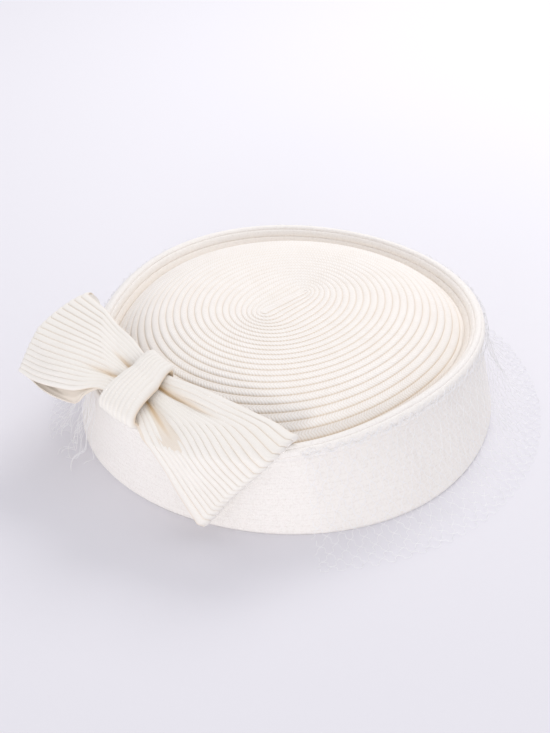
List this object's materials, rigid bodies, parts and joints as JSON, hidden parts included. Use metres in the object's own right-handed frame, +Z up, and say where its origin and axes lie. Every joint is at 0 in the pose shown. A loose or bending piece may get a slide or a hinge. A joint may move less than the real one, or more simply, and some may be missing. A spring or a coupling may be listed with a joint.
{
  "type": "pillbox hat",
  "caption": "Oval straw pillbox hat with a domed tip sunk in a rolled rim, a ribbed ribbon bow and a net veil that falls round the wall.",
  "frame": {"origin": "on the surface that the hat stands on, below the middle of the box round the whole part", "axes": "+Z up; +X along the hat's long axis, away from the bow"},
  "size_m": [0.214, 0.2082, 0.0557],
  "materials": {
    "straw": "ivory straw braid, satin",
    "ribbon": "ivory ribbed ribbon",
    "net": "white net"
  },
  "bodies": {
    "root": {"side_band": "straw", "crown_tip": "straw", "bow_loop_right": "ribbon", "bow_loop_left": "ribbon", "bow_knot": "ribbon", "veil": "net"}
  },
  "joints": []
}
